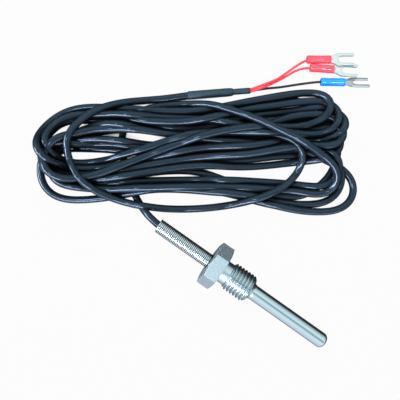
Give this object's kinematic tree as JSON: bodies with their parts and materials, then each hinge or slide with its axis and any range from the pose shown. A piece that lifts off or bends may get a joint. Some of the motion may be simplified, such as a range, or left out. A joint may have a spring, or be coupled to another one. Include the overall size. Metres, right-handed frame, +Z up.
{
  "type": "resistance thermometer probe",
  "caption": "Screw-in resistance thermometer probe: closed steel sheath, hexagon with male thread, coiled strain relief, and a hank of black cable ending in three insulated fork terminals.",
  "frame": {"origin": "on the floor under the middle of the probe, which lies on one flat of its hexagon", "axes": "+X along the probe towards the closed tip, +Z up, and the cable's hank lies on the +Y side"},
  "size_m": [0.1466, 0.121, 0.017],
  "materials": {
    "sheath_steel": "polished stainless steel",
    "fitting_steel": "turned and milled stainless steel",
    "spring_steel": "bright spring wire",
    "ferrule_brass": "turned brass",
    "element_ceramic": "fired ceramic, unglazed",
    "lead_wire": "drawn wire",
    "fill_powder": "packed ceramic powder",
    "potting_resin": "cast resin",
    "solder": "dull solder",
    "joint_sleeve": "glass fibre sleeve",
    "wire_red": "satin extruded insulation",
    "wire_black": "satin extruded insulation",
    "cable_jacket": "glossy extruded jacket",
    "shrink_sleeve": "matte shrink tube",
    "conductor_copper": "crimped copper strands",
    "fork_tin": "tinned and stamped",
    "insulation_red": "moulded vinyl",
    "insulation_blue": "moulded vinyl"
  },
  "bodies": {
    "root": {"sheath": "sheath_steel", "process_fitting": "fitting_steel", "strain_relief_spring": "spring_steel", "spring_ferrule": "ferrule_brass", "rtd_element": "element_ceramic", "element_lead_red_side": "lead_wire", "element_lead_black_side": "lead_wire", "thermal_fill": "fill_powder", "potting_plug": "potting_resin", "solder_joint_red": "solder", "solder_joint_black": "solder", "joint_sleeve_red": "joint_sleeve", "joint_sleeve_black": "joint_sleeve", "inner_wire_red_upper": "wire_red", "inner_wire_red_lower": "wire_red", "inner_wire_black": "wire_black", "cable_lead_in": "cable_jacket", "cable_hank": "cable_jacket", "cable_tail": "cable_jacket", "shrink_sleeve_large": "shrink_sleeve", "shrink_sleeve_small": "shrink_sleeve", "wire_red_upper": "wire_red", "wire_red_lower": "wire_red", "wire_black": "wire_black", "conductor_red_upper": "conductor_copper", "conductor_red_lower": "conductor_copper", "conductor_black": "conductor_copper", "fork_red_upper": "fork_tin", "fork_red_lower": "fork_tin", "fork_blue": "fork_tin", "insulation_red_upper": "insulation_red", "insulation_red_lower": "insulation_red", "insulation_blue": "insulation_blue"}
  },
  "joints": []
}
